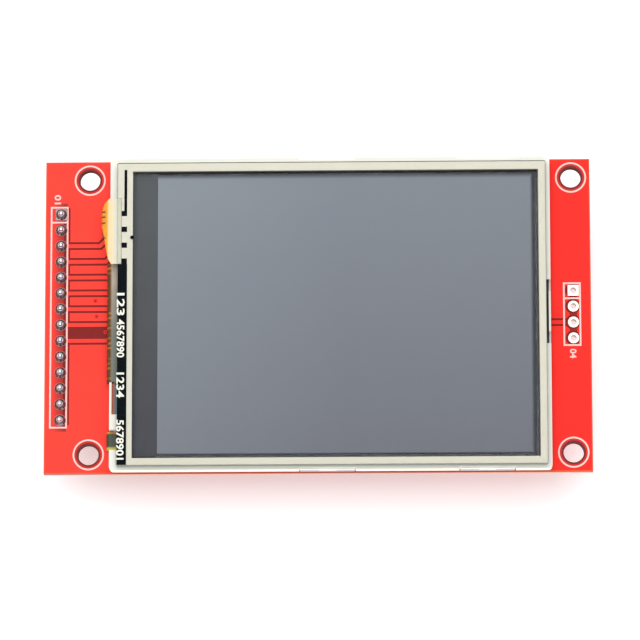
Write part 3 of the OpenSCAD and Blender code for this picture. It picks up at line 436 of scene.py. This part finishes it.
def solder_metal():
    """Dull solder, darker down its skirt with painted shade and a painted reflection of the red board."""
    g = Finish("solder", Metallic=0.8)
    top = box_mm("pcb")[1].z
    body = g.mottle(0.5, (158, 158, 162), (120, 120, 126))
    # Painted shade and painted reflection of the board: a dark red-brown skirt.
    skirt = g.mottle(0.4, (84, 58, 60), (62, 42, 46))
    g.set("Base Color", g.mix(g.ramp(g.axes()[2], top + 0.08, top + 0.5), skirt, body))
    g.roughness(0.4, 0.18, 0.36)
    g.bump(g.noise(0.35), 0.02, 0.6)
    return g


def pin_metal():
    """Gold-coloured pins, tinned where they come through the solder."""
    g = Finish("pin_metal", Metallic=1.0)
    grain = g.noise(0.25, 4.0)
    gold = g.mix(grain, linear(226, 196, 124), linear(206, 174, 104))
    tinned = g.mix(grain, linear(196, 196, 200), linear(160, 160, 166))
    g.set("Base Color", g.mix(g.above(g.axes()[2], box_mm("pcb")[1].z), gold, tinned))
    g.set("Roughness", g.spread(grain, 0.18, 0.3))
    return g


def varied(name, colour, second, size, rough, grain=0.0, grain_size=0.3, **sockets):
    """A plain finish: two close colours mixed by noise, with a little roughness change and grain."""
    g = Finish(name, **sockets)
    g.set("Base Color", g.mottle(size, colour, second))
    g.roughness(size * 0.6, *rough)
    if grain:
        g.bump(g.noise(grain_size, 2.0), grain)
    return g


FINISHES = (
    solder_mask(),
    touch_tail(),
    main_tail(),
    backlight_tail(),
    display_face(),
    ledge_cover(),
    moulded_frame(),
    solder_metal(),
    pin_metal(),
    brushed("tinned", (212, 208, 198), 0.3, (1, 1, 1)),
    brushed("steel", (208, 208, 206), 0.36),
    brushed("socket_shell", (206, 208, 210), 0.22),
    brushed("contact_gold", (222, 190, 118), 0.2, (1, 1, 1)),
    clear_sheet("acrylic", (225, 236, 238), (190, 210, 212), 0.35, 0.6, 0.1),
    clear_sheet("glass_plate", (50, 56, 66), (60, 72, 70), 0.94, 0.95, 0.1),
    clear_sheet("touch_glass", (190, 200, 196), (98, 116, 112), 0.004, 0.97, 0.04),
    clear_sheet("touch_film", (150, 155, 164), (150, 158, 150), 0.004, 0.9, 0.2),
    # Tin of the header pads, mottled from dark to light grey.
    varied("dark_mottled_tin", (74, 64, 66), (176, 172, 172), 0.45, (0.4, 0.5), Metallic=0.5),
    varied("white_print", (250, 204, 198), (246, 192, 186), 0.8, (0.5, 0.65), 0.004),
    varied("header_plastic", (30, 30, 32), (22, 22, 24), 1.0, (0.4, 0.55), 0.01),
    varied("foam", (46, 46, 48), (34, 34, 36), 0.5, (0.85, 0.95), 0.05, 0.2),
    varied("white_sheet", (236, 236, 236), (228, 228, 230), 4.0, (0.5, 0.7)),
    varied("led", (244, 232, 130), (238, 224, 150), 0.5, (0.3, 0.4)),
    varied("black_tape", (28, 28, 30), (20, 20, 22), 2.0, (0.6, 0.75), 0.004),
    varied("silicon", (38, 38, 48), (30, 30, 38), 0.8, (0.12, 0.2)),
    varied("adhesive", (228, 222, 206), (222, 215, 198), 2.0, (0.4, 0.5)),
    varied("cream_print", (230, 227, 210), (225, 221, 203), 3.0, (0.45, 0.55), Specular_IOR_Level=0.2),
    varied("black_print", (10, 18, 25), (6, 12, 18), 1.5, (0.35, 0.45), Specular_IOR_Level=0.02),
    varied("socket_plastic", (32, 32, 34), (24, 24, 26), 1.0, (0.45, 0.6), 0.008),
    varied("chip_plastic", (34, 34, 36), (26, 26, 28), 0.5, (0.5, 0.65), 0.01, 0.15),
    varied("resistor", (26, 26, 28), (18, 18, 20), 0.4, (0.35, 0.55), 0.004, 0.12),
    varied("capacitor", (150, 118, 82), (132, 102, 70), 0.4, (0.35, 0.55), 0.004, 0.12),
    varied("mark_white", (240, 240, 226), (232, 232, 216), 0.6, (0.5, 0.6)),
    varied("mark_brown", (104, 62, 22), (84, 50, 18), 0.6, (0.35, 0.5)),
    varied("via", (232, 40, 36), (216, 32, 28), 0.4, (0.3, 0.4), Specular_IOR_Level=0.12),
    varied("via_hole", (112, 16, 14), (90, 12, 10), 0.2, (0.4, 0.5), Specular_IOR_Level=0.12),
)
MATERIALS = {finish.name: finish.material for finish in FINISHES}

NODE_FINISH = {
    "pcb": "solder_mask", "header_pads": "dark_mottled_tin", "open_pads": "tinned", "back_pads": "tinned",
    "flex_pads": "tinned", "front_silkscreen": "white_print", "back_silkscreen": "white_print",
    "header_body": "header_plastic", "header_pins": "pin_metal", "solder_joints": "solder",
    "foam_tape": "foam", "steel_tray": "steel", "lcd_frame": "moulded_frame",
    "reflector_sheet": "white_sheet", "light_guide": "acrylic", "backlight_leds": "led",
    "backlight_flex": "backlight_tail", "diffuser_sheet": "white_sheet", "prism_sheet_lower": "white_sheet",
    "prism_sheet_upper": "white_sheet", "rim_tape": "black_tape", "rear_polarizer": "display_face",
    "rear_glass": "glass_plate", "front_glass": "glass_plate", "front_polarizer": "display_face",
    "driver_chip": "silicon", "ledge_tape": "ledge_cover", "main_flex": "main_tail",
    "touch_adhesive": "adhesive", "touch_glass": "touch_glass", "touch_spacer": "cream_print",
    "touch_margin_strip": "black_print", "touch_film": "touch_film", "touch_flex": "touch_tail",
    "sd_body": "socket_plastic", "sd_shell": "socket_shell", "sd_contacts": "contact_gold",
    "touch_controller": "chip_plastic", "regulator": "chip_plastic", "transistor": "chip_plastic",
    "chip_leads": "tinned", "chip_resistors": "resistor", "chip_capacitors": "capacitor",
    "chip_terminals": "tinned",
}


def dress_nodes():
    """Gives each CAD node its finish."""
    for name, finish in NODE_FINISH.items():
        materials = frame["nodes"][name].data.materials
        materials.clear()
        materials.append(MATERIALS[finish])


# ---------------------------------------------------------------- meshes of the added pieces

def add_piece(name, mesh, finish):
    """Links a mesh as a piece of the object that rides on the frame."""
    piece = bpy.data.objects.new(name, mesh)
    bpy.context.scene.collection.objects.link(piece)
    mesh.materials.append(MATERIALS[finish])
    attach(piece, "root")


def number_mesh(text, centre, height, width=None, turn=0.0, flipped=False):
    """Flat mesh of a number. Without a width, it keeps the shape of the font."""
    curve = bpy.data.curves.new("number", "FONT")
    curve.body = text
    curve.align_x = "CENTER"
    curve.align_y = "CENTER"
    curve.offset = BOLDNESS
    curve.resolution_u = 3
    thing = bpy.data.objects.new("number", curve)
    bpy.context.scene.collection.objects.link(thing)
    bpy.context.view_layer.update()
    mesh = bpy.data.meshes.new_from_object(thing)
    bpy.data.objects.remove(thing)

    xs = [v.co.x for v in mesh.vertices]
    ys = [v.co.y for v in mesh.vertices]
    middle = Vector(((min(xs) + max(xs)) / 2, (min(ys) + max(ys)) / 2, 0))
    tall = height / (max(ys) - min(ys))
    wide = width / (max(xs) - min(xs)) if width else tall
    face = Matrix.Rotation(math.pi, 4, "Y") if flipped else Matrix.Identity(4)
    shape = face @ Matrix.Diagonal((wide, tall, 1, 1)) @ Matrix.Translation(-middle)
    mesh.transform(Matrix.Translation(centre) @ Matrix.Rotation(turn, 4, "Z") @ shape)
    return mesh


def join_meshes(name, meshes):
    """One mesh of several."""
    points = []
    faces = []
    for mesh in meshes:
        first = len(points)
        points += [tuple(v.co) for v in mesh.vertices]
        faces += [[first + i for i in p.vertices] for p in mesh.polygons]
        bpy.data.meshes.remove(mesh)
    joined = bpy.data.meshes.new(name)
    joined.from_pydata(points, [], faces)
    joined.update()
    return joined


def thicken(mesh, depth):
    """Turns a flat print into a closed skin of that thickness below it."""
    b = bmesh.new()
    b.from_mesh(mesh)
    bmesh.ops.remove_doubles(b, verts=b.verts, dist=1e-7)
    bmesh.ops.solidify(b, geom=b.faces[:], thickness=depth)
    bmesh.ops.recalc_face_normals(b, faces=b.faces[:])
    b.to_mesh(mesh)
    b.free()


def add_numbers(name, meshes, finish):
    """One printed piece of several flat numbers."""
    joined = join_meshes(name, meshes)
    thicken(joined, PRINT_DEPTH)
    add_piece(name, joined, finish)


def closed_mesh(name, points, faces):
    """A mesh of a closed skin, with its faces turned outward."""
    mesh = bpy.data.meshes.new(name)
    mesh.from_pydata(points, [], faces)
    b = bmesh.new()
    b.from_mesh(mesh)
    bmesh.ops.recalc_face_normals(b, faces=b.faces[:])
    b.to_mesh(mesh)
    b.free()
    return mesh


def disc_mesh(name, places, radius, z, height, inner=0.0, sides=24):
    """Closed discs or rings at several places, rising by height from z."""
    points = []
    faces = []
    rings = [(radius, z), (radius, z + height)]
    if inner:
        rings += [(inner, z + height), (inner, z)]
    count = len(rings)
    for x, y in places:
        first = len(points)
        for i in range(sides):
            a = 2 * math.pi * i / sides
            points += [(x + r * math.cos(a), y + r * math.sin(a), level) for r, level in rings]
        corners = [[first + count * i + k for i in range(sides)] for k in range(count)]
        for k in range(count if inner else 1):
            low, high = corners[k], corners[(k + 1) % count]
            faces += [(low[i - 1], low[i], high[i], high[i - 1]) for i in range(sides)]
        if not inner:
            faces += corners
    return closed_mesh(name, points, faces)


def bend_path(node, lift):
    """Points (x, z) just outside the outermost part of a flex's half-round bend, from the top down."""
    low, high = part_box(node)
    radius = (high.z - low.z) / 2
    middle_x = low.x + radius
    middle_z = (high.z + low.z) / 2
    steps = 14
    angles = [math.pi / 2 + math.pi * i / steps for i in range(3, 8)]
    return [(middle_x + (radius + lift) * math.cos(a), middle_z + (radius + lift) * math.sin(a))
        for a in angles]


def ribbon(path, y_start, y_end, width, thick):
    """Closed thin ribbon under a path of (x, z), whose middle goes from y_start to y_end."""
    lengths = [0.0]
    for (xa, za), (xb, zb) in zip(path, path[1:]):
        lengths.append(lengths[-1] + math.hypot(xb - xa, zb - za))
    points = []
    last = len(path) - 1
    for i, (x, z) in enumerate(path):
        before, after = path[max(i - 1, 0)], path[min(i + 1, last)]
        run = Vector((after[0] - before[0], 0, after[1] - before[1])).normalized()
        inward = Vector((-run.z, 0, run.x))
        middle = y_start + (y_end - y_start) * lengths[i] / lengths[-1]
        for side, deep in ((-1, 0), (1, 0), (1, 1), (-1, 1)):
            spot = Vector((x, middle + side * width / 2, z)) + inward * (thick * deep)
            points.append(tuple(spot))
    faces = [(0, 1, 2, 3), (4 * last + 3, 4 * last + 2, 4 * last + 1, 4 * last)]
    for i in range(last):
        here, there = 4 * i, 4 * i + 4
        for k in range(4):
            beside = (k + 1) % 4
            faces.append((here + k, here + beside, there + beside, there + k))
    return closed_mesh("ribbon", points, faces)


# ---------------------------------------------------------------- added pieces

def margin_numbers():
    """White numbers on the black strip, in four groups that read down it from one y to another."""
    low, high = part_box("touch_film")
    x = low.x + 0.62 * MM
    z = high.z + 0.008 * MM
    groups = (("123", 3.1, -0.5), ("4567890", -1.1, -7.2), ("1234", -9.6, -13.6), ("5678901", -17.1, -23.4))
    meshes = []
    for text, start, end in groups:
        centre = Vector((x, (start + end) / 2 * MM, z))
        meshes.append(number_mesh(text, centre, 1.24 * MM, (start - end) * MM, DOWNWARD))
    add_numbers("margin_numbers", meshes, "mark_white")


def window_notch():
    """Small dark registration mark on the inner edge of the printed border."""
    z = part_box("touch_film")[1].z
    mark = disc_mesh("window_notch", [(-31.1 * MM, 12.0 * MM)], 0.3 * MM, z, PRINT_DEPTH)
    add_piece("window_notch", mark, "black_print")


def row_places(node, count):
    """Middles of a node's equal copies, which stand in a row along y, from the highest y down."""
    low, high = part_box(node)
    side = high.x - low.x
    pitch = (high.y - low.y - side) / (count - 1)
    return [Vector(((low.x + high.x) / 2, high.y - side / 2 - i * pitch, 0)) for i in range(count)]


def board_numbers():
    """A number beside each row on the front, and one beside each pin and pad on the back."""
    pins = row_places("header_pins", PIN_COUNT)
    pads = row_places("open_pads", PAD_COUNT)
    z_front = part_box("front_silkscreen")[1].z
    z_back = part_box("back_silkscreen")[0].z
    over_pins = pins[0] + Vector((-0.6 * MM, 2.45 * MM, z_front))
    under_pads = pads[-1] + Vector((-0.1 * MM, -2.5 * MM, z_front))
    front = [number_mesh(text, centre, 1.05 * MM, 1.5 * MM, DOWNWARD)
        for text, centre in (("01", over_pins), ("04", under_pads))]
    add_numbers("front_numbers", front, "white_print")
    back = []
    for places, off in ((pins, 2.9 * MM), (pads, -2.5 * MM)):
        for i, place in enumerate(places):
            centre = place + Vector((off, 0, z_back))
            back.append(number_mesh(str(i + 1), centre, 1.3 * MM, flipped=True))
    add_numbers("back_numbers", back, "white_print")


def vias():
    """Small plated holes, covered by the mask, on both faces of the board."""
    front = [(-35.4, -2.43), (-37.05, 2.57), (-36.86, 0.08)]
    back = [(-31, y) for y in (9.14, 7.1, 5.1, 3.05, 1.0, -1.0, -3.05, -5.1, -7.1)]
    back += [(-16, 10), (-13, 8), (-12, 3), (-3, -2), (-1, 12), (37, 14), (37.5, -12), (-12, -20),
        (-22, -20), (-17, 18), (8, -12), (14, -16), (22, -10), (28, -18), (6, -20), (30, -8)]
    low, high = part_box("pcb")
    for side, places, z, outward in (("front", front, high.z, 1), ("back", back, low.z, -1)):
        spots = [(x * MM, y * MM) for x, y in places]
        ring = disc_mesh("vias", spots, 0.34 * MM, z, outward * 0.02 * MM, 0.12 * MM)
        add_piece("vias_" + side, ring, "via")
        hole = disc_mesh("via_holes", spots, 0.13 * MM, z, outward * 0.008 * MM, sides=12)
        add_piece("via_holes_" + side, hole, "via_hole")


def flex_conductors():
    """Copper conductors that show as short dark stripes on the bend of the touch flex.
    Each row gives the y of one stripe at its upper and its lower end."""
    name = "touch_flex_conductors"
    bend = bend_path("touch_flex", 0.012 * MM)
    rows = ((16.2, 16.4), (15.4, 15.6), (14.45, 14.6), (11.9, 13.6))
    meshes = [ribbon(bend, start * MM, end * MM, 0.24 * MM, 0.008 * MM) for start, end in rows]
    add_piece(name, join_meshes(name, meshes), "mark_brown")


dress_nodes()
margin_numbers()
window_notch()
board_numbers()
vias()
flex_conductors()


# ---------------------------------------------------------------- floor, light and camera

def seen_ray(g):
    """1 for camera, glossy and transmission rays, else 0."""
    path = g.node("LightPath").outputs
    return g.highest(path["Is Camera Ray"], path["Is Glossy Ray"], path["Is Transmission Ray"])


def add_floor():
    """Pale floor at the object's lowest point, which glows to white where it is seen."""
    bpy.ops.mesh.primitive_plane_add(size=6.0, location=(0, 0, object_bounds()[0][2]))
    floor = bpy.context.object
    floor.name = "floor"
    g = Finish("floor", Roughness=0.9, Specular_IOR_Level=0.1, Emission_Color=WHITE)
    g.set("Base Color", g.mix(g.noise(400.0), (0.90, 0.90, 0.90, 1), (0.88, 0.88, 0.88, 1)))
    g.set("Emission Strength", g.math("MULTIPLY", seen_ray(g), FLOOR_LIFT))
    floor.data.materials.append(g.material)


def add_world():
    """Soft grey studio for the light on the object, white where it is seen or mirrored."""
    world = bpy.data.worlds.new("studio")
    bpy.context.scene.world = world
    world.use_nodes = True
    g = Nodes(world.node_tree)
    background = g.tree.nodes["Background"].inputs
    g.feed(background["Color"], WHITE)
    g.feed(background["Strength"], g.spread(seen_ray(g), AMBIENT, 1.0))


def add_lamp(name, place, size, power):
    """Rectangular lamp that looks at the origin."""
    lamp = bpy.data.lights.new(name, "AREA")
    lamp.shape = "RECTANGLE"
    lamp.size, lamp.size_y = size
    lamp.energy = power
    thing = bpy.data.objects.new(name, lamp)
    thing.location = place
    thing.rotation_euler = (Vector() - Vector(place)).to_track_quat("-Z", "Y").to_euler()
    bpy.context.scene.collection.objects.link(thing)


def add_camera():
    """Camera of the photograph: nearly straight down, leaning to the board's near long edge."""
    lean = Matrix.Rotation(math.radians(-11.04), 3, "X")
    roll = Matrix.Rotation(math.radians(-1.23), 3, "Y")
    turn = Matrix.Rotation(math.radians(0.35), 3, "Z")
    to_world = (turn @ roll @ lean).transposed()
    place = to_world @ Vector((-1.681 * MM, -0.39 * MM, 0.7784))
    data = bpy.data.cameras.new("camera")
    data.sensor_width = 36.0
    data.lens = 277.7
    data.clip_start = 0.01
    data.clip_end = 20.0
    camera = bpy.data.objects.new("camera", data)
    camera.matrix_world = Matrix.Translation(place) @ to_world.to_4x4()
    bpy.context.scene.collection.objects.link(camera)
    bpy.context.scene.camera = camera


add_floor()
add_world()
add_lamp("key", (-0.05, 0.28, 0.6), (1.1, 0.8), 5.8)
add_lamp("fill", (0.0, -0.8, 0.12), (1.2, 0.2), 5.6)
add_camera()
bpy.context.scene.view_settings.view_transform = "Standard"
